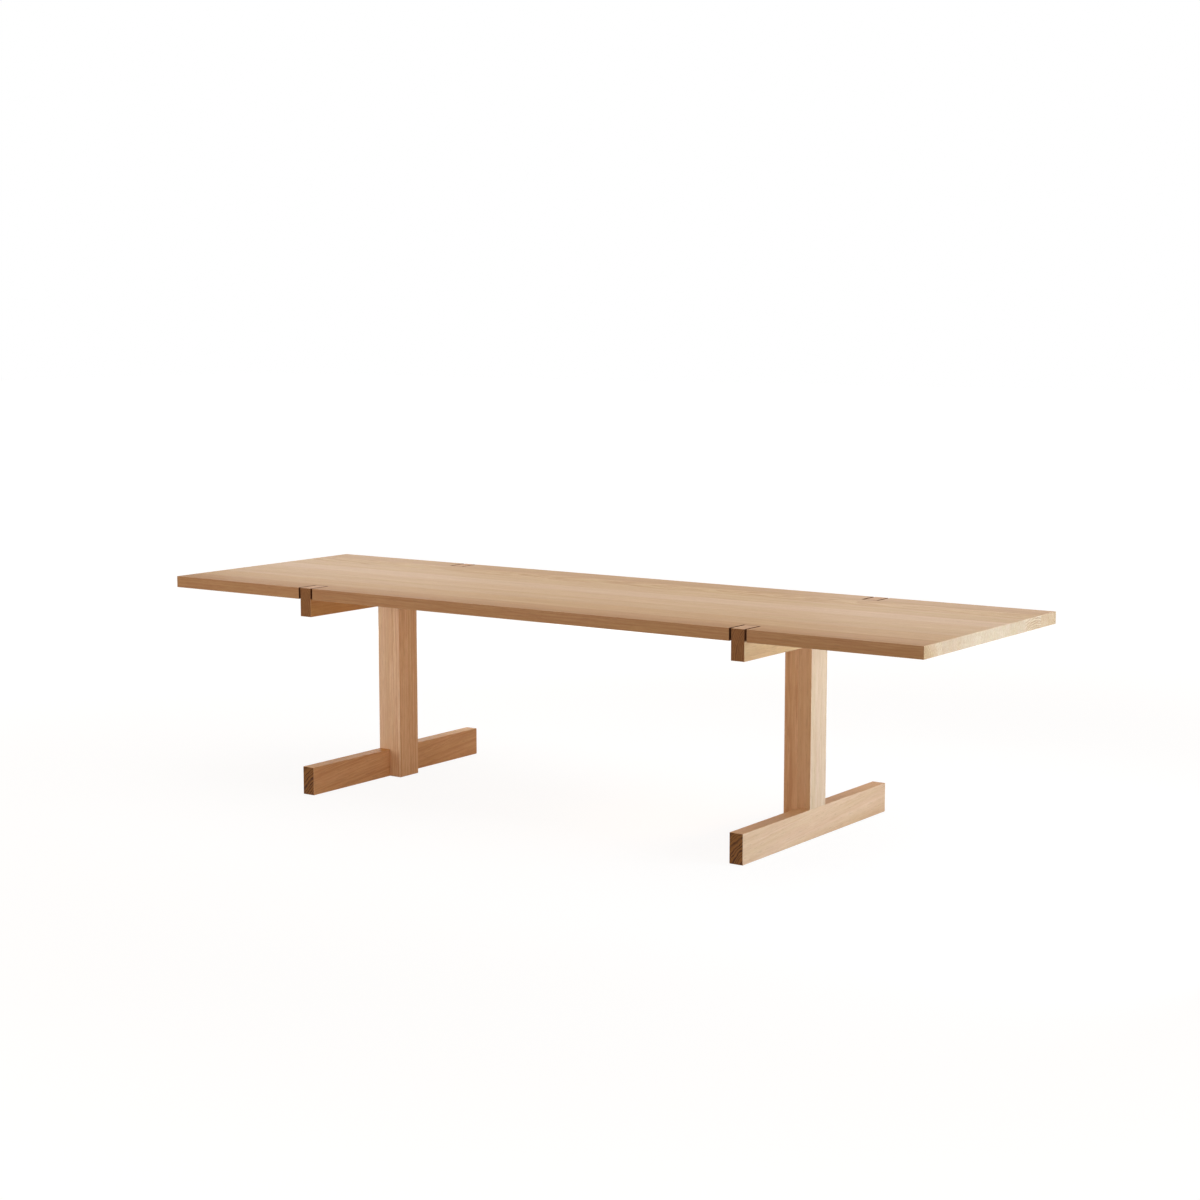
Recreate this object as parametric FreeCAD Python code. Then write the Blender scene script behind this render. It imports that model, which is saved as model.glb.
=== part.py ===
import FreeCAD, Part
import os

# Trestle dining table: a top of edge-glued staves that drops over the horns of two trestles.
# X runs along the table, Y from front to back and Z up, with the origin on the floor under
# the table's middle. All lengths are in millimetres. The left trestle is side -1 and the
# right one is side 1.

# Overall sizes
table_length = 3000.0
table_width = 920.0
table_height = 730.0
end_overhang = 600.0

# Top
top_thickness = 40.0
stave_count = 8

# Notches that take the bearers' horns
notch_side_gap = 6.5
notch_end_gap = 0.5

# Trestle boards, in two layers: foot, outer post board and bearer lie in the outer layer,
# and the inner post board alone is the inner layer
outer_layer_thickness = 48.0
inner_layer_thickness = 50.0
post_width = 100.0
foot_height = 98.0
bearer_depth = 60.0
horn_length = 84.0
post_head_gap = 1.0

# Dowels across the laps
dowel_diameter = 12.0
dowel_length = 64.0
dowel_side_clearance = 0.1
dowel_end_clearance = 1.0
foot_dowel_spacing = 50.0
foot_dowel_rise = 48.0
bearer_dowel_spacing = 50.0

# Felt glides let into the underside of each foot
glide_diameter = 30.0
glide_thickness = 4.0
glide_proud = 2.0
glide_side_clearance = 0.3
glide_from_foot_end = 70.0

# Small sizes shared by all pieces
arris_width = 0.8
cut_overrun = 5.0
plane_tolerance = 0.01

# Places that follow from the sizes above
half_length = table_length / 2
half_width = table_width / 2
top_underside = table_height - top_thickness
stave_width = table_width / stave_count
trestle_face = half_length - end_overhang
foot_underside = glide_proud
foot_top = foot_underside + foot_height
bearer_underside = top_underside - bearer_depth
seat_half_length = half_width - horn_length
post_half_width = post_width / 2
trestle_depth = outer_layer_thickness + inner_layer_thickness


def block(x_span, y_span, z_span):
    """Box between the lower and upper places along each axis."""
    low = FreeCAD.Vector(min(x_span), min(y_span), min(z_span))
    high = FreeCAD.Vector(max(x_span), max(y_span), max(z_span))
    size = high - low
    return Part.makeBox(size.x, size.y, size.z, low)


def across(side, depth):
    """Place along X of a depth counted inward from a trestle's outer face."""
    return side * (trestle_face - depth)


def trestle_block(side, depth_span, y_span, z_span):
    """Box in a trestle, with its thickness given as depths from the outer face."""
    x_span = [across(side, depth) for depth in depth_span]
    return block(x_span, y_span, z_span)


def lies_in(edge, axis, place):
    """True when both ends of a straight edge lie in the plane across an axis at a place."""
    ends = [getattr(vertex.Point, axis) for vertex in edge.Vertexes]
    return all(abs(end - place) < plane_tolerance for end in ends)


def runs_along(edge, axis):
    """True when a straight edge is parallel to an axis."""
    ends = [vertex.Point for vertex in edge.Vertexes]
    return abs(getattr(ends[1] - ends[0], axis)) > edge.Length - plane_tolerance


def eased(shape, edges):
    """Shape with a narrow arris planed along the given edges."""
    return shape.makeChamfer(arris_width, edges)


def notch_cut(side, outward):
    """Space for one horn, at the front (outward -1) or the back (outward 1)."""
    depths = (-notch_side_gap, outer_layer_thickness + notch_side_gap)
    y_inner = outward * (seat_half_length - notch_end_gap)
    y_outer = outward * (half_width + cut_overrun)
    z_span = (top_underside - cut_overrun, table_height + cut_overrun)
    return trestle_block(side, depths, (y_inner, y_outer), z_span)


def stave(number):
    """One stave of the top, counted from the front. The outer ones take the horns."""
    y_front = -half_width + number * stave_width
    y_span = (y_front, y_front + stave_width)
    shape = block((-half_length, half_length), y_span, (top_underside, table_height))
    shape = shape.cut([notch_cut(side, outward) for side in (-1, 1) for outward in (-1, 1)])
    open_planes = [("x", -half_length), ("x", half_length), ("y", -half_width), ("y", half_width)]
    glued = [y for y in y_span if abs(y) < half_width - plane_tolerance]
    edges = []
    for edge in shape.Edges:
        is_open = any(lies_in(edge, axis, place) for axis, place in open_planes)
        is_glued = any(lies_in(edge, "y", y) for y in glued)
        if is_open and not is_glued:
            edges.append(edge)
    return eased(shape, edges)


def bearer(side):
    """Board under the top, cut down between its two horns to make the seat for the top."""
    outline = [
        (-half_width, bearer_underside),
        (half_width, bearer_underside),
        (half_width, table_height),
        (seat_half_length, table_height),
        (seat_half_length, top_underside),
        (-seat_half_length, top_underside),
        (-seat_half_length, table_height),
        (-half_width, table_height),
    ]
    x = across(side, 0)
    corners = [FreeCAD.Vector(x, y, z) for y, z in outline]
    face = Part.Face(Part.makePolygon(corners + corners[:1]))
    shape = face.extrude(FreeCAD.Vector(-side * outer_layer_thickness, 0, 0))
    edges = [edge for edge in shape.Edges if not lies_in(edge, "z", top_underside)]
    return eased(shape, edges)


def foot(side):
    """Bar on the floor, as long as the table is wide."""
    y_span = (-half_width, half_width)
    shape = trestle_block(side, (0, outer_layer_thickness), y_span, (foot_underside, foot_top))
    return eased(shape, shape.Edges)


def post_inner_board(side):
    """Full-height half of the post, beside the foot and the bearer."""
    depths = (outer_layer_thickness, trestle_depth)
    y_span = (-post_half_width, post_half_width)
    z_span = (foot_underside, top_underside - post_head_gap)
    shape = trestle_block(side, depths, y_span, z_span)
    lap = across(side, outer_layer_thickness)
    edges = [edge for edge in shape.Edges if not lies_in(edge, "x", lap)]
    return eased(shape, edges)


def post_outer_board(side):
    """Half of the post that stands on the foot and carries the bearer."""
    y_span = (-post_half_width, post_half_width)
    z_span = (foot_top, bearer_underside)
    shape = trestle_block(side, (0, outer_layer_thickness), y_span, z_span)
    face = across(side, 0)
    edges = [edge for edge in shape.Edges if lies_in(edge, "x", face) and runs_along(edge, "z")]
    return eased(shape, edges)


def lap_pin(side, place, radius, length):
    """Round bar centred on the lap between the two layers, at a (y, z) place."""
    x = across(side, outer_layer_thickness) - length / 2
    return Part.makeCylinder(radius, length, FreeCAD.Vector(x, *place), FreeCAD.Vector(1, 0, 0))


def dowels(side, places):
    """Group of dowels at the given places."""
    return Part.makeCompound([lap_pin(side, place, dowel_diameter / 2, dowel_length) for place in places])


def dowel_holes(side, places):
    """Holes for a group of dowels, reaching into both layers."""
    radius = dowel_diameter / 2 + dowel_side_clearance
    length = dowel_length + 2 * dowel_end_clearance
    return [lap_pin(side, place, radius, length) for place in places]


def foot_dowel_places():
    """Four dowels in a square in the lap between post and foot."""
    middle = (foot_underside + foot_top) / 2
    ys = (-foot_dowel_spacing / 2, foot_dowel_spacing / 2)
    zs = (middle - foot_dowel_rise / 2, middle + foot_dowel_rise / 2)
    return [(y, z) for y in ys for z in zs]


def bearer_dowel_places():
    """Two dowels side by side in the lap between post and bearer."""
    middle = (bearer_underside + top_underside) / 2
    ys = (-bearer_dowel_spacing / 2, bearer_dowel_spacing / 2)
    return [(y, middle) for y in ys]


def glide_discs(side, radius, z_low, z_high):
    """Upright discs at the two glide places of a foot."""
    x = across(side, outer_layer_thickness / 2)
    ys = (-half_width + glide_from_foot_end, half_width - glide_from_foot_end)
    return [Part.makeCylinder(radius, z_high - z_low, FreeCAD.Vector(x, y, z_low)) for y in ys]


def trestle(side, name):
    """All pieces of one trestle, by node name."""
    foot_places = foot_dowel_places()
    bearer_places = bearer_dowel_places()
    foot_holes = dowel_holes(side, foot_places)
    bearer_holes = dowel_holes(side, bearer_places)
    glide_top = foot_underside - glide_proud + glide_thickness
    recess_radius = glide_diameter / 2 + glide_side_clearance
    recesses = glide_discs(side, recess_radius, foot_underside - cut_overrun, glide_top)
    glides = glide_discs(side, glide_diameter / 2, 0, glide_top)
    return {
        f"{name}_foot": foot(side).cut(foot_holes + recesses),
        f"{name}_post_inner_board": post_inner_board(side).cut(foot_holes + bearer_holes),
        f"{name}_post_outer_board": post_outer_board(side),
        f"{name}_bearer": bearer(side).cut(bearer_holes),
        f"{name}_foot_dowels": dowels(side, foot_places),
        f"{name}_bearer_dowels": dowels(side, bearer_places),
        f"{name}_foot_glides": Part.makeCompound(glides),
    }


def table():
    """Every piece of the table, by node name."""
    nodes = {f"top_stave_{number + 1}": stave(number) for number in range(stave_count)}
    nodes.update(trestle(-1, "left"))
    nodes.update(trestle(1, "right"))
    return nodes


os.makedirs("parts", exist_ok=True)
for node, shape in table().items():
    shape.exportStep(f"parts/{node}.step")
    print(node, len(shape.Solids), "solids", round(shape.Volume), "mm3", shape.isValid())
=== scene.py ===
import math
from typing import NamedTuple

import bpy
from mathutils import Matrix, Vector

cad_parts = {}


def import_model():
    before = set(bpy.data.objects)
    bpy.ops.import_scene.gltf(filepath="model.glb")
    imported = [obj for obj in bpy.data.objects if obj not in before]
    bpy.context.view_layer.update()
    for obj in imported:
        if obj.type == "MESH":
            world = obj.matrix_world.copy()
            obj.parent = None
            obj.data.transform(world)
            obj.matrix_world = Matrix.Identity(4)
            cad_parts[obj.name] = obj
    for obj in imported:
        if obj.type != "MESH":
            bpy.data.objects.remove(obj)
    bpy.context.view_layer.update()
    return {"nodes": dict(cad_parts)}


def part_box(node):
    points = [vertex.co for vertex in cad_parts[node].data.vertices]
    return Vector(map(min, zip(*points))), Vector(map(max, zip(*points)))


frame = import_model()
nodes = frame["nodes"]

# Trestle dining table of light oiled wood. Lengths are in metres and colours are linear.

# Camera, at a standing person's eye height, off the table's right front corner
camera_place = (4.3872, -6.1889, 1.6734)
camera_turn = math.radians(35.047)
camera_dip = math.radians(7.277)
camera_sensor = 36.0
camera_lens = 67.40

# Arrises: once the faces beside it are whole, each planed arris is rounded off along its two edges
arris_round = 0.00035
arris_segments = 2
arris_angle = math.radians(30)
weld_distance = 0.00001
flat_angle = math.radians(1)

# Colours of wood: the pale ground, the late wood of a ring on a board's sides and on its ends, open pores
# and rubbed arrises
straw = (0.625, 0.425, 0.250)
pink = (0.645, 0.408, 0.268)
ring_brown = (0.43, 0.200, 0.080)
end_brown = (0.12, 0.045, 0.014)
pore_brown = (0.20, 0.095, 0.045)
worn_pale = (0.74, 0.54, 0.36)

# Heartwood: its tone, and how far from the pith it is full and has ended
heart_tone = (0.80, 0.68, 0.50)
heart_core = 0.06
heart_edge = 0.18

# Noises of wood, in waves per metre along the grain and both ways across it
slow_waves = (0.9, 6.0, 6.0)
quick_waves = (6.0, 40.0, 40.0)
dot_waves = (30.0, 850.0, 850.0)
drift_waves = (0.35, 26.0, 26.0)
hue_waves = (5.0, 34.0, 34.0)
cloud_waves = (5.0, 16.0, 16.0)
patch_waves = (5.0, 70.0, 70.0)
streak_waves = (2.5, 130.0, 130.0)
dash_waves = (16.0, 240.0, 240.0)
fibre_waves = (22.0, 1500.0, 1500.0)
stain_waves = (4.0, 210.0, 210.0)
rub_waves = (9.0, 30.0, 30.0)

# How far apart along the grain the noises of two seeds lie
seed_step = 3.7

# Noise keeps between these levels nearly everywhere
noise_low = 0.28
noise_high = 0.72

# Growth rings: how far they wander off a circle, as a length and as a share of their width, how their
# widths vary, where late wood lies in a year's growth, and how strong it is in the faintest year
slow_wander = 0.008
quick_wander = 0.6
year_waves = 30.0
year_spread = 3.0
late_rise = (0.25, 0.85)
late_fall = (0.86, 1.0)
late_least = 0.3

# Pores: the part of a year's growth that has more of them, how many more, and the noise that opens them
pore_band = 0.45
pore_lift = 0.27
pore_cut = (0.87, 1.08)

# Rays: waves per metre along the grain, per radian round the pith and per metre out from it
ray_waves = (60.0, 120.0, 40.0)
ray_cut = (0.72, 1.0)

# Arcs of late wood on end grain: where they are full, and how faint their palest patches are
arc_full = 0.4
arc_patch_full = 0.9
arc_least = 0.5

# How far each noise swings the colour of wood, and how strongly stains, pores and rubbing show in it.
# Streaks, dashes and stains grow with a board's figure
drift_swing = 0.05
cloud_swing = 0.04
patch_swing = 0.035
fibre_swing = 0.05
lively_least = 0.045
lively_gain = 0.1
ray_lift = 0.06
stain_cut = (0.74, 0.96)
stain_least = 0.09
stain_gain = 0.6
pore_share = 0.35
rub_range = (0.1, 0.4)

# How much red, green and blue change where a colour gets darker or lighter
shade_swing = (0.6, 1.0, 1.3)

# Surface of wood: its roughness and what changes it, the heights in its bump, and its gloss
wood_roughness = 0.58
late_roughness = -0.08
cloud_roughness = 0.04
end_roughness = 0.16
arris_roughness = -0.06
late_height = 0.4
fibre_height = 0.25
pore_height = -0.7
wood_bump = 0.35
wood_bump_depth = 0.00015
wood_gloss = 0.3

# How a face's normal tells end grain from a side, an arris from a face, one axis from the next, and the near
# faces, which look right, forwards or up, from the far ones
end_turn = (0.36, 0.90)
arris_turn = (0.81, 0.98)
axis_turn = (0.3, 0.7)
near_turn = (-0.3, 0.3)
near_directions = (1.0, -1.0, 1.0)

# Gaps round the horns, and the painted shade in their mouths: how deep it lies and how far it spreads beside
# them
horn_length = 0.084
gap_width = 0.0065
gap_shade_tone = (0.21, 0.12, 0.07)
gap_shade_start = 0.002
gap_shade_depth = 0.030
gap_shade_reach = 0.050
gap_shade_lift = 0.006
gap_spread = 0.002
joint_spread = 0.004

# Places that the frame gives: the top's two faces and long edge, and where the horns stand in it
top_low, top_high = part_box("top_stave_8")
top_underside = top_low.z
top_face = top_high.z
top_edge = top_high.y
bearer_low, bearer_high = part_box("right_bearer")
horn_middle = (bearer_low.x + bearer_high.x) / 2
horn_half = (bearer_high.x - bearer_low.x) / 2
horn_start = bearer_high.y - horn_length

# Felt of the glides
felt_light = (0.16, 0.13, 0.11)
felt_dark = (0.045, 0.036, 0.03)
matted_waves = (900.0, 900.0, 900.0)
lump_waves = (140.0, 140.0, 140.0)
lump_swing = 0.1
felt_roughness = 0.9
lump_roughness = 0.05
felt_bump = 0.8
felt_bump_depth = 0.0006
felt_gloss = 0.2
felt_sheen = 0.4

# Floor: it shows a white glow, weaker near the table, and a small share of the lamps' light, which keeps the
# table's shadow. The bounce is what lights the table from below
floor_half = 40.0
floor_drop = 0.0002
floor_bounce = (0.72, 0.72, 0.72)
floor_shadow_share = 0.12
floor_glow_near = 0.92
floor_glow_far = 1.0
floor_glow_start = 2.0
floor_glow_end = 5.0

# Surroundings: they look white, and light the table with a weak warm light
white = (1.0, 1.0, 1.0)
surroundings_warm = (1.0, 0.5, 0.15)
surroundings_strength = 0.22

# Axes along the grain and across it
grain_orders = {"X": (0, 1, 2), "Y": (1, 0, 2), "Z": (2, 0, 1)}


class Board(NamedTuple):
    """How a board was cut: its grain axis, its pith across the grain from its middle, how far its grain runs
    off the axis, the width of its rings, their strength on its sides and on its ends, the tints of its near
    faces, which are painted light and shade, and of its far faces along X, Y and Z, and a seed."""
    grain: str
    pith: tuple
    slope: tuple
    ring: float
    figure: float
    end_figure: float
    near_shading_tints: tuple
    far_tints: tuple
    seed: int


class Growth(NamedTuple):
    """What grew at a place in the log: its shares of late wood, open pores, light rays and heartwood."""
    late: bpy.types.NodeSocket
    pores: bpy.types.NodeSocket
    rays: bpy.types.NodeSocket
    heart: bpy.types.NodeSocket


class Lamp(NamedTuple):
    """A soft studio lamp."""
    place: tuple
    aim: tuple
    size: tuple
    radiance: float
    colour: tuple


class Graph:
    """Adds shader nodes to one node tree and links them."""

    def __init__(self, tree):
        self.tree = tree
        tree.nodes.clear()

    def feed(self, socket, value):
        """Links a socket to another's value, or sets it."""
        if isinstance(value, bpy.types.NodeSocket):
            self.tree.links.new(value, socket)
        elif hasattr(value, "__len__") and len(value) == 3 and socket.type == "RGBA":
            socket.default_value = (*value, 1.0)
        else:
            socket.default_value = value

    def node(self, kind, inputs=None, **settings):
        """New node with its settings and inputs. An input is named or numbered."""
        made = self.tree.nodes.new("ShaderNode" + kind)
        for name, value in settings.items():
            setattr(made, name, value)
        for key, value in (inputs or {}).items():
            self.feed(made.inputs[key], value)
        return made

    def math(self, operation, *values):
        """Result of a sum on numbers."""
        return self.node("Math", dict(enumerate(values)), operation=operation).outputs[0]

    def vector(self, operation, *values):
        """Result of a sum on vectors."""
        made = self.node("VectorMath", dict(enumerate(values)), operation=operation)
        single = operation in ("LENGTH", "DOT_PRODUCT")
        return made.outputs["Value" if single else "Vector"]

    def split(self, value):
        """The three parts of a vector."""
        return self.node("SeparateXYZ", {0: value}).outputs[:]

    def join(self, *parts):
        """Vector from three numbers."""
        return self.node("CombineXYZ", dict(enumerate(parts))).outputs[0]

    def smooth(self, value, low, high, start=0.0, end=1.0):
        """Eases from start to end while the value goes from low to high."""
        inputs = {0: value, 1: low, 2: high, 3: start, 4: end}
        return self.node("MapRange", inputs, interpolation_type="SMOOTHSTEP").outputs[0]

    def noise(self, place, waves, detail=2.0, rough=0.5):
        """Noise from 0 to 1, with so many waves per unit along each axis."""
        spread = self.vector("MULTIPLY", place, waves)
        inputs = {"Vector": spread, "Scale": 1.0, "Detail": detail, "Roughness": rough}
        plain_noise = self.node("TexNoise", inputs).outputs[0]
        return self.node("MapRange", {0: plain_noise, 1: noise_low, 2: noise_high}).outputs[0]

    def mix(self, factor, first, second):
        """Colour between two others."""
        made = self.node("Mix", data_type="RGBA")
        for index, value in ((0, factor), (6, first), (7, second)):
            self.feed(made.inputs[index], value)
        return made.outputs[2]

    def shade(self, colour, factor, low, high):
        """Colour made darker and warmer or lighter and cooler, by a factor from 0 to 1. Its green goes
        from low times to high times."""
        swing = self.node("MapRange", {0: factor, 3: low - 1.0, 4: high - 1.0}).outputs[0]
        level = self.vector("MULTIPLY_ADD", self.join(swing, swing, swing), shade_swing, (1.0, 1.0, 1.0))
        return self.vector("MULTIPLY", colour, level)

    def principled(self, inputs):
        """Ends the tree in one principled shader."""
        shader = self.node("BsdfPrincipled", inputs)
        self.node("OutputMaterial", {0: shader.outputs[0]})


def new_material(name):
    """Material, and the graph that its nodes go into."""
    material = bpy.data.materials.new(name)
    material.use_nodes = True
    return material, Graph(material.node_tree)


def grain_place(g, board, middle):
    """Place in the log: along the grain, and the two ways across it from the pith."""
    along, first, second = grain_orders[board.grain]
    centre = list(middle)
    centre[first] += board.pith[0]
    centre[second] += board.pith[1]
    parts = g.split(g.vector("SUBTRACT", g.node("TexCoord").outputs["Object"], centre))
    across = [
        g.math("MULTIPLY_ADD", parts[along], slope, parts[axis])
        for slope, axis in zip(board.slope, (first, second))
    ]
    return g.join(g.math("ADD", parts[along], seed_step * board.seed), *across)


def facing(g):
    """How squarely a face looks along X, along Y and along Z: shares that add up to 1."""
    normal = g.node("TexCoord").outputs["Normal"]
    return g.split(g.vector("MULTIPLY", normal, normal))


def rings(g, place, board):
    """Growth rings about the pith."""
    along, first, second = g.split(place)
    slow = g.noise(place, slow_waves, detail=1.0)
    quick = g.noise(place, quick_waves)
    quick = g.math("MULTIPLY", quick, quick_wander * board.ring)
    wander = g.math("ADD", g.math("MULTIPLY", slow, slow_wander), quick)
    radius = g.math("ADD", g.vector("LENGTH", g.join(0.0, first, second)), wander)
    years = g.node("TexNoise", {"W": radius, "Scale": year_waves, "Detail": 1.0}, noise_dimensions="1D")
    phase = g.math("MULTIPLY_ADD", years.outputs[0], year_spread, g.math("DIVIDE", radius, board.ring))
    part = g.math("FRACT", phase)
    year = g.math("ADD", g.math("FLOOR", phase), board.seed)
    strength = g.node("TexWhiteNoise", {"W": year}, noise_dimensions="1D").outputs["Value"]
    late = g.math("MULTIPLY", g.smooth(part, *late_rise), g.smooth(part, *late_fall, 1.0, 0.0))
    late = g.math("MULTIPLY", late, g.math("MULTIPLY_ADD", strength, 1.0 - late_least, late_least))
    band = g.smooth(part, 0.0, pore_band, pore_lift, 0.0)
    dots = g.noise(place, dot_waves, detail=1.0)
    pores = g.smooth(g.math("ADD", dots, band), *pore_cut)
    sheet = g.join(along, g.math("ARCTAN2", second, first), radius)
    rays = g.smooth(g.noise(sheet, ray_waves, detail=1.0), *ray_cut)
    heart = g.smooth(radius, heart_core, heart_edge, 1.0, 0.0)
    return Growth(late, pores, rays, heart)


def wood_colour(g, board, place, growth, end, cloud, fibre):
    """Colour of clean wood: its ground, heartwood, rings, end grain, streaks, rays, stains and pores."""
    drift = g.noise(place, drift_waves)
    hue = g.noise(place, hue_waves)
    patch = g.noise(place, patch_waves)
    streak = g.noise(place, streak_waves, detail=3.0)
    dash = g.noise(place, dash_waves, rough=0.6)
    stain = g.smooth(g.noise(place, stain_waves, detail=1.0), *stain_cut)
    lively = lively_least + lively_gain * board.figure
    stained = stain_least + stain_gain * board.figure
    swings = (
        (drift, drift_swing),
        (cloud, cloud_swing),
        (patch, patch_swing),
        (streak, lively),
        (dash, lively),
        (fibre, fibre_swing),
    )

    colour = g.mix(g.math("MULTIPLY_ADD", drift, 0.5, g.math("MULTIPLY", hue, 0.5)), straw, pink)
    colour = g.mix(growth.heart, colour, g.vector("MULTIPLY", colour, heart_tone))
    colour = g.mix(g.math("MULTIPLY", growth.late, board.figure), colour, ring_brown)
    arcs = g.smooth(growth.late, 0.0, arc_full)
    arcs = g.math("MULTIPLY", arcs, g.smooth(patch, 0.0, arc_patch_full, arc_least, 1.0))
    arcs = g.math("MULTIPLY", arcs, g.math("MULTIPLY", end, board.end_figure))
    colour = g.mix(arcs, colour, end_brown)
    for factor, swing in swings:
        colour = g.shade(colour, factor, 1.0 - swing, 1.0 + swing)
    colour = g.shade(colour, growth.rays, 1.0, 1.0 + ray_lift)
    colour = g.mix(g.math("MULTIPLY", stain, stained), colour, ring_brown)
    return g.mix(g.math("MULTIPLY", growth.pores, pore_share), colour, pore_brown)


def axis_tint(g, shares, tints):
    """Tint of a face: one each for the faces that look along X, Y and Z."""
    either = g.mix(g.smooth(shares[1], *axis_turn), tints[0], tints[1])
    return g.mix(g.smooth(shares[2], *axis_turn), either, tints[2])


def tint(g, board, shares):
    """Tint of a board's face, near or far. The near tints are painted light and shade."""
    ahead = g.vector("DOT_PRODUCT", g.node("TexCoord").outputs["Normal"], near_directions)
    near = axis_tint(g, shares, board.near_shading_tints)
    far = axis_tint(g, shares, board.far_tints)
    return g.mix(g.smooth(ahead, *near_turn), far, near)


def gap_shade(g):
    """Share of painted shade: 1 in the mouths of the gaps round the horns, and 0 away from them."""
    x, y, z = g.split(g.vector("ABSOLUTE", g.node("TexCoord").outputs["Object"]))
    beside = g.math("SUBTRACT", g.math("ABSOLUTE", g.math("SUBTRACT", x, horn_middle)), horn_half)
    inward = g.math("SUBTRACT", horn_start, y)
    from_gap = g.math("ABSOLUTE", g.math("SUBTRACT", beside, gap_width / 2))
    side = g.smooth(from_gap, gap_width / 2, gap_width / 2 + gap_spread, 1.0, 0.0)
    side = g.math("MULTIPLY", side, g.smooth(inward, 0.0, gap_spread, 1.0, 0.0))
    joint = g.smooth(g.math("ABSOLUTE", inward), 0.0, joint_spread, 1.0, 0.0)
    joint = g.math("MULTIPLY", joint, g.smooth(beside, gap_width, gap_width + gap_spread, 1.0, 0.0))
    upper = g.smooth(z, top_face - gap_shade_depth, top_face - gap_shade_start)
    outer = g.smooth(y, top_edge - gap_shade_reach, top_edge - gap_width)
    mouth = g.math("MAXIMUM", upper, outer)
    mouth = g.math("MULTIPLY", mouth, g.smooth(z, top_underside, top_underside + gap_shade_lift))
    return g.math("MULTIPLY", g.math("MAXIMUM", side, joint), mouth)


def wood(name, board, middle):
    """Solid wood cut from a log, with rubbed arrises and with painted shade in the gaps round the horns."""
    material, g = new_material(name)
    place = grain_place(g, board, middle)
    growth = rings(g, place, board)
    shares = facing(g)
    end = g.smooth(shares[grain_orders[board.grain][0]], *end_turn)
    squarest = g.math("MAXIMUM", g.math("MAXIMUM", *shares[:2]), shares[2])
    arris = g.smooth(squarest, *arris_turn, 1.0, 0.0)
    cloud = g.noise(place, cloud_waves)
    fibre = g.noise(place, fibre_waves, rough=0.6)
    # Painted shade in and beside the gaps round the horns
    gap_shaded = gap_shade(g)

    colour = wood_colour(g, board, place, growth, end, cloud, fibre)
    # Tints by facing: on near faces they are painted light and shade
    colour = g.vector("MULTIPLY", colour, tint(g, board, shares))
    rub = g.math("MULTIPLY", arris, g.smooth(g.noise(place, rub_waves), 0.0, 1.0, *rub_range))
    colour = g.mix(rub, colour, worn_pale)
    # Painted shade: the wood in the gaps' mouths is darkened by the shade tone
    colour = g.mix(gap_shaded, colour, g.vector("MULTIPLY", colour, gap_shade_tone))

    roughness = g.math("MULTIPLY_ADD", growth.late, late_roughness, wood_roughness)
    for share, change in ((cloud, cloud_roughness), (end, end_roughness), (arris, arris_roughness)):
        roughness = g.math("MULTIPLY_ADD", share, change, roughness)
    # Where the shade is painted, the wood is also made fully rough
    roughness = g.math("MAXIMUM", gap_shaded, roughness)
    height = g.math("MULTIPLY_ADD", growth.late, late_height, g.math("MULTIPLY", fibre, fibre_height))
    height = g.math("MULTIPLY_ADD", growth.pores, pore_height, height)
    bump = g.node("Bump", {"Strength": wood_bump, "Distance": wood_bump_depth, "Height": height})
    g.principled({
        "Base Color": colour,
        "Roughness": roughness,
        "Specular IOR Level": wood_gloss,
        "Normal": bump.outputs[0],
    })
    return material


def felt(name):
    """Pressed felt: matted fibres with a soft sheen."""
    material, g = new_material(name)
    place = g.node("TexCoord").outputs["Object"]
    matted = g.noise(place, matted_waves, detail=4.0, rough=0.7)
    lumps = g.noise(place, lump_waves)
    colour = g.mix(matted, felt_dark, felt_light)
    colour = g.shade(colour, lumps, 1.0 - lump_swing, 1.0 + lump_swing)
    bump = g.node("Bump", {"Strength": felt_bump, "Distance": felt_bump_depth, "Height": matted})
    g.principled({
        "Base Color": colour,
        "Roughness": g.math("MULTIPLY_ADD", lumps, lump_roughness, felt_roughness),
        "Specular IOR Level": felt_gloss,
        "Sheen Weight": felt_sheen,
        "Normal": bump.outputs[0],
    })
    return material


def round_arrises(node):
    """Rounds the edges of a node's planed arrises."""
    weld = node.modifiers.new("weld", "WELD")
    weld.merge_threshold = weld_distance
    flat = node.modifiers.new("flat", "DECIMATE")
    flat.decimate_type = "DISSOLVE"
    flat.angle_limit = flat_angle
    bevel = node.modifiers.new("round", "BEVEL")
    bevel.width = arris_round
    bevel.segments = arris_segments
    bevel.limit_method = "ANGLE"
    bevel.angle_limit = arris_angle
    bevel.harden_normals = True


def dress(node, material):
    """Gives every slot of a node one material."""
    for slot in node.material_slots:
        slot.material = material


def middle_of(name):
    """Middle of a node's box."""
    low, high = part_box(name)
    return (low + high) / 2


# Tints that boards share: those of end grain, the top's long edges, the horns' tops and the trestles' far
# sides. Those on near faces, the stave ends, the front edge and the horns' tops, are painted light and shade
plain = (1.0, 1.0, 1.0)
stave_end = (0.70, 0.785, 0.835)
left_end = (0.95, 0.95, 0.92)
foot_end = (0.40, 0.275, 0.125)
bearer_end = (0.455, 0.32, 0.178)
dowel_end = (0.88, 0.87, 0.86)
front_edge = (0.875, 0.88, 0.895)
back_edge = (0.88, 0.82, 0.72)
horn_top = (0.85, 0.79, 0.69)
trestle_far = (1.10, 1.11, 1.12)

# Strength of the rings on end grain, and the slope of straight grain
faint_ends = 0.3
clear_ends = 0.45
bold_ends = 0.9
straight = (0.0, 0.0)


def stave(seed, pith, slope, ring, figure, top, end=stave_end):
    """Board of the top, alike above and below."""
    near_shading_tints = (end, front_edge, top)
    far_tints = (left_end, back_edge, top)
    return Board("X", pith, slope, ring, figure, faint_ends, near_shading_tints, far_tints, seed)


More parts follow.
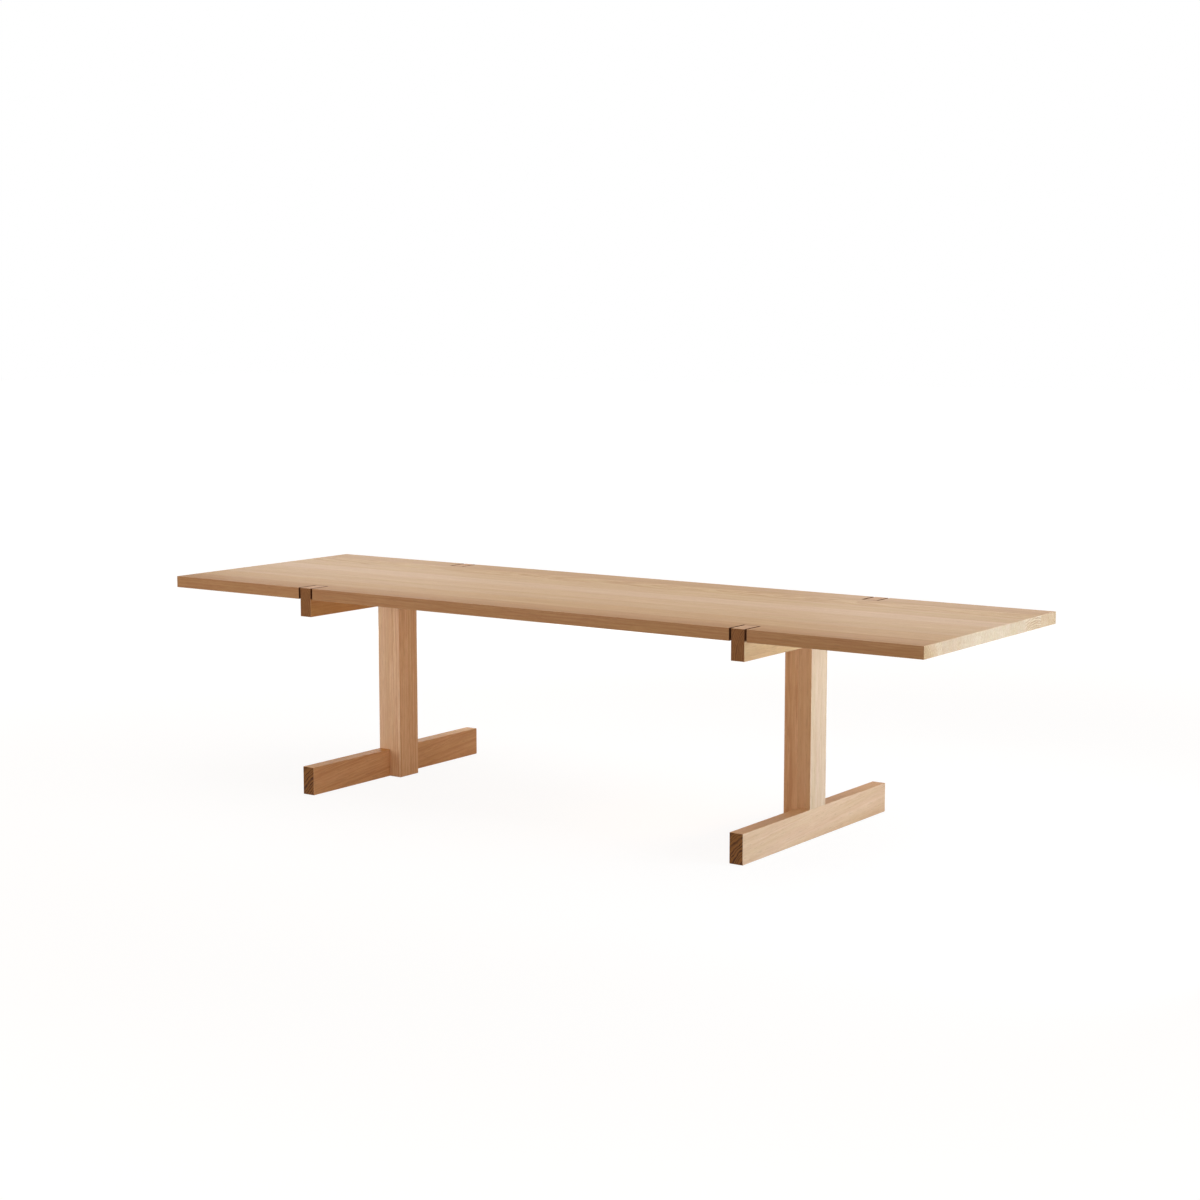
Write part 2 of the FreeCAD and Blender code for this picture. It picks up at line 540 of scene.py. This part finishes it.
def trestle_board(seed, grain, pith, slope, ring, figure, tints, end_figure=bold_ends):
    """Board of a trestle, whose near tints are painted light and shade, with plain far sides and with both
    ends alike.
    """
    along = grain_orders[grain][0]
    far_tints = tuple(tints[axis] if axis == along else trestle_far for axis in range(3))
    return Board(grain, pith, slope, ring, figure, end_figure, tints, far_tints, seed)


# Boards as cut: the top's staves from front to back, each trestle's boards, and the dowels. Their near tints
# are painted light and shade: darker and warmer on faces in shade, paler on lit faces
staves = (
    stave(
        seed=1, pith=(-0.10, -0.04), slope=(0.004, 0.006), ring=0.0060, figure=0.60,
        top=(0.80, 0.75, 0.57), end=(0.775, 0.86, 0.895),
    ),
    stave(
        seed=2, pith=(-0.20, -0.05), slope=(0.006, 0.0), ring=0.0042, figure=0.30,
        top=(0.875, 0.885, 0.745), end=(0.695, 0.74, 0.765),
    ),
    stave(
        seed=3, pith=(-0.19, 0.04), slope=(-0.005, 0.0), ring=0.0040, figure=0.30,
        top=(0.93, 1.005, 0.95),
    ),
    stave(
        seed=4, pith=(0.22, -0.06), slope=straight, ring=0.0045, figure=0.30,
        top=(0.98, 1.08, 1.07),
    ),
    stave(
        seed=5, pith=(-0.20, 0.02), slope=(0.003, 0.0), ring=0.0040, figure=0.25,
        top=(1.04, 1.19, 1.33),
    ),
    stave(
        seed=6, pith=(0.21, -0.04), slope=straight, ring=0.0042, figure=0.30,
        top=(0.965, 1.07, 1.04),
    ),
    stave(
        seed=7, pith=(0.02, -0.20), slope=(0.004, -0.045), ring=0.0085, figure=0.85,
        top=(0.965, 1.07, 1.015), end=(0.765, 0.875, 0.96),
    ),
    stave(
        seed=8, pith=(-0.21, -0.05), slope=(0.01, 0.005), ring=0.0045, figure=0.40,
        top=(0.87, 0.90, 0.85), end=(0.73, 0.77, 0.75),
    ),
)
trestle_boards = {
    "left_foot": trestle_board(
        seed=11, grain="Y", pith=(0.16, -0.11), slope=(0.0, -0.10), ring=0.0095, figure=0.45,
        tints=((0.89, 0.75, 0.55), foot_end, (1.18, 1.045, 0.55)),
    ),
    "left_post_inner_board": trestle_board(
        seed=12, grain="Z", pith=(0.15, 0.14), slope=straight, ring=0.0080, figure=0.68,
        tints=((1.015, 0.98, 0.88), (1.365, 1.52, 1.75), foot_end),
    ),
    "left_post_outer_board": trestle_board(
        seed=13, grain="Z", pith=(-0.14, 0.15), slope=straight, ring=0.0075, figure=0.25,
        tints=((1.015, 0.98, 0.88), (1.315, 1.47, 1.69), foot_end),
    ),
    "left_bearer": trestle_board(
        seed=14, grain="Y", pith=(0.19, -0.04), slope=straight, ring=0.0065, figure=0.35,
        tints=((0.815, 0.63, 0.345), bearer_end, horn_top), end_figure=clear_ends,
    ),
    "right_foot": trestle_board(
        seed=15, grain="Y", pith=(0.15, -0.12), slope=(0.0, -0.06), ring=0.0105, figure=0.12,
        tints=((1.05, 1.07, 1.08), foot_end, (1.055, 0.965, 0.79)),
    ),
    "right_post_inner_board": trestle_board(
        seed=16, grain="Z", pith=(0.05, 0.18), slope=straight, ring=0.0085, figure=0.60,
        tints=((1.06, 1.04, 1.00), (0.93, 0.81, 0.68), foot_end),
    ),
    "right_post_outer_board": trestle_board(
        seed=17, grain="Z", pith=(0.16, 0.15), slope=straight, ring=0.0070, figure=0.22,
        tints=((1.01, 1.10, 1.175), (0.90, 0.81, 0.685), foot_end),
    ),
    "right_bearer": trestle_board(
        seed=18, grain="Y", pith=(0.19, -0.04), slope=straight, ring=0.0065, figure=0.25,
        tints=((0.985, 0.955, 0.77), bearer_end, horn_top), end_figure=clear_ends,
    ),
}
dowel_tints = (dowel_end, plain, plain)
dowel = Board(
    grain="X", pith=(0.20, 0.20), slope=straight, ring=0.0030, figure=0.20, end_figure=faint_ends,
    near_shading_tints=dowel_tints, far_tints=dowel_tints, seed=21,
)

wooden = {f"top_stave_{number}": board for number, board in enumerate(staves, start=1)}
wooden.update(trestle_boards)
for name, board in wooden.items():
    dress(nodes[name], wood(f"{name}_wood", board, middle_of(name)))
    round_arrises(nodes[name])

felt_material = felt("glide_felt")
for trestle in ("left", "right"):
    for part in ("foot_dowels", "bearer_dowels"):
        name = f"{trestle}_{part}"
        dress(nodes[name], wood(f"{name}_wood", dowel, middle_of(name)))
    dress(nodes[f"{trestle}_foot_glides"], felt_material)


def seen_directly(g):
    """1 for what the camera, a mirror or glass shows, and 0 for light that bounces about."""
    path = g.node("LightPath").outputs
    either = g.math("MAXIMUM", path["Is Camera Ray"], path["Is Glossy Ray"])
    return g.math("MAXIMUM", either, path["Is Transmission Ray"])


def floor_material(name):
    """Plain pale floor. From below it is clear, so that the underside can be seen."""
    material, g = new_material(name)
    geometry = g.node("NewGeometry").outputs
    away = g.vector("LENGTH", geometry["Position"])
    glow = g.smooth(away, floor_glow_start, floor_glow_end, floor_glow_near, floor_glow_far)
    shown = g.node("BsdfDiffuse", {"Color": (floor_shadow_share,) * 3}).outputs[0]
    lit = g.node("Emission", {"Strength": glow}).outputs[0]
    shown = g.node("AddShader", {0: shown, 1: lit}).outputs[0]
    bounce = g.node("BsdfDiffuse", {"Color": floor_bounce}).outputs[0]
    surface = g.node("MixShader", {0: seen_directly(g), 1: bounce, 2: shown}).outputs[0]
    clear = g.node("BsdfTransparent").outputs[0]
    surface = g.node("MixShader", {0: geometry["Backfacing"], 1: surface, 2: clear}).outputs[0]
    g.node("OutputMaterial", {0: surface})
    return material


def floor():
    """Wide square floor that the table stands on."""
    signs = ((-1, -1), (1, -1), (1, 1), (-1, 1))
    corners = [(x * floor_half, y * floor_half, -floor_drop) for x, y in signs]
    mesh = bpy.data.meshes.new("floor")
    mesh.from_pydata(corners, [], [(0, 1, 2, 3)])
    mesh.materials.append(floor_material("floor"))
    plane = bpy.data.objects.new("floor", mesh)
    bpy.context.scene.collection.objects.link(plane)


def world():
    """Surroundings of the table."""
    made = bpy.data.worlds.new("studio")
    bpy.context.scene.world = made
    made.use_nodes = True
    g = Graph(made.node_tree)
    soft = g.node("Background", {"Color": surroundings_warm, "Strength": surroundings_strength}).outputs[0]
    shown = g.node("Background", {"Color": white, "Strength": 1.0}).outputs[0]
    surface = g.node("MixShader", {0: seen_directly(g), 1: soft, 2: shown}).outputs[0]
    g.node("OutputWorld", {0: surface})


def hang(name, lamp):
    """Adds a soft rectangular lamp that the camera doesn't see."""
    data = bpy.data.lights.new(name, "AREA")
    data.shape = "RECTANGLE"
    data.size, data.size_y = lamp.size
    data.energy = lamp.radiance * math.pi * lamp.size[0] * lamp.size[1]
    data.color = lamp.colour
    made = bpy.data.objects.new(name, data)
    made.location = lamp.place
    made.rotation_euler = (Vector(lamp.aim) - Vector(lamp.place)).to_track_quat("-Z", "Y").to_euler()
    made.visible_camera = False
    bpy.context.scene.collection.objects.link(made)


lamps = {
    "right_softbox": Lamp(
        place=(2.5, 0.0, 0.5), aim=(0.9, 0.0, 0.4), size=(1.2, 0.8),
        radiance=8.4, colour=(0.79, 1.0, 1.20),
    ),
    "overhead_softbox": Lamp(
        place=(0.0, 0.4, 3.2), aim=(0.0, 0.0, 0.7), size=(7.0, 3.0),
        radiance=1.29, colour=(0.99, 1.0, 1.0),
    ),
    "front_left_softbox": Lamp(
        place=(-1.9, -4.4, 0.6), aim=(-0.6, 0.0, 0.4), size=(2.4, 1.4),
        radiance=5.5, colour=(1.0, 0.97, 0.92),
    ),
    "front_right_fill": Lamp(
        place=(2.2, -5.5, 1.2), aim=(0.0, 0.0, 0.4), size=(3.0, 2.0),
        radiance=1.45, colour=(1.0, 0.88, 0.68),
    ),
    "back_left_softbox": Lamp(
        place=(-3.0, 3.4, 0.45), aim=(0.0, 0.0, 0.35), size=(3.0, 0.8),
        radiance=5.0, colour=(1.0, 0.98, 0.95),
    ),
    "under_top_glow": Lamp(
        place=(0.6, 0.0, 0.42), aim=(-0.85, 0.0, 0.40), size=(0.6, 0.3),
        radiance=4.0, colour=(1.0, 0.50, 0.15),
    ),
    "left_end_sheen": Lamp(
        place=(-2.9, 2.0, 1.15), aim=(-1.2, 0.2, 0.73), size=(1.2, 0.6),
        radiance=1.75, colour=white,
    ),
    "right_end_sheen": Lamp(
        place=(0.5, 1.7, 1.0), aim=(1.2, 0.1, 0.73), size=(1.0, 0.5),
        radiance=1.3, colour=white,
    ),
}
for name, lamp in lamps.items():
    hang(name, lamp)
world()
floor()

camera = bpy.data.objects.new("camera", bpy.data.cameras.new("camera"))
camera.location = camera_place
camera.rotation_euler = (math.pi / 2 - camera_dip, 0.0, camera_turn)
camera.data.sensor_width = camera_sensor
camera.data.lens = camera_lens
bpy.context.scene.collection.objects.link(camera)
bpy.context.scene.camera = camera
bpy.context.scene.view_settings.view_transform = "Standard"
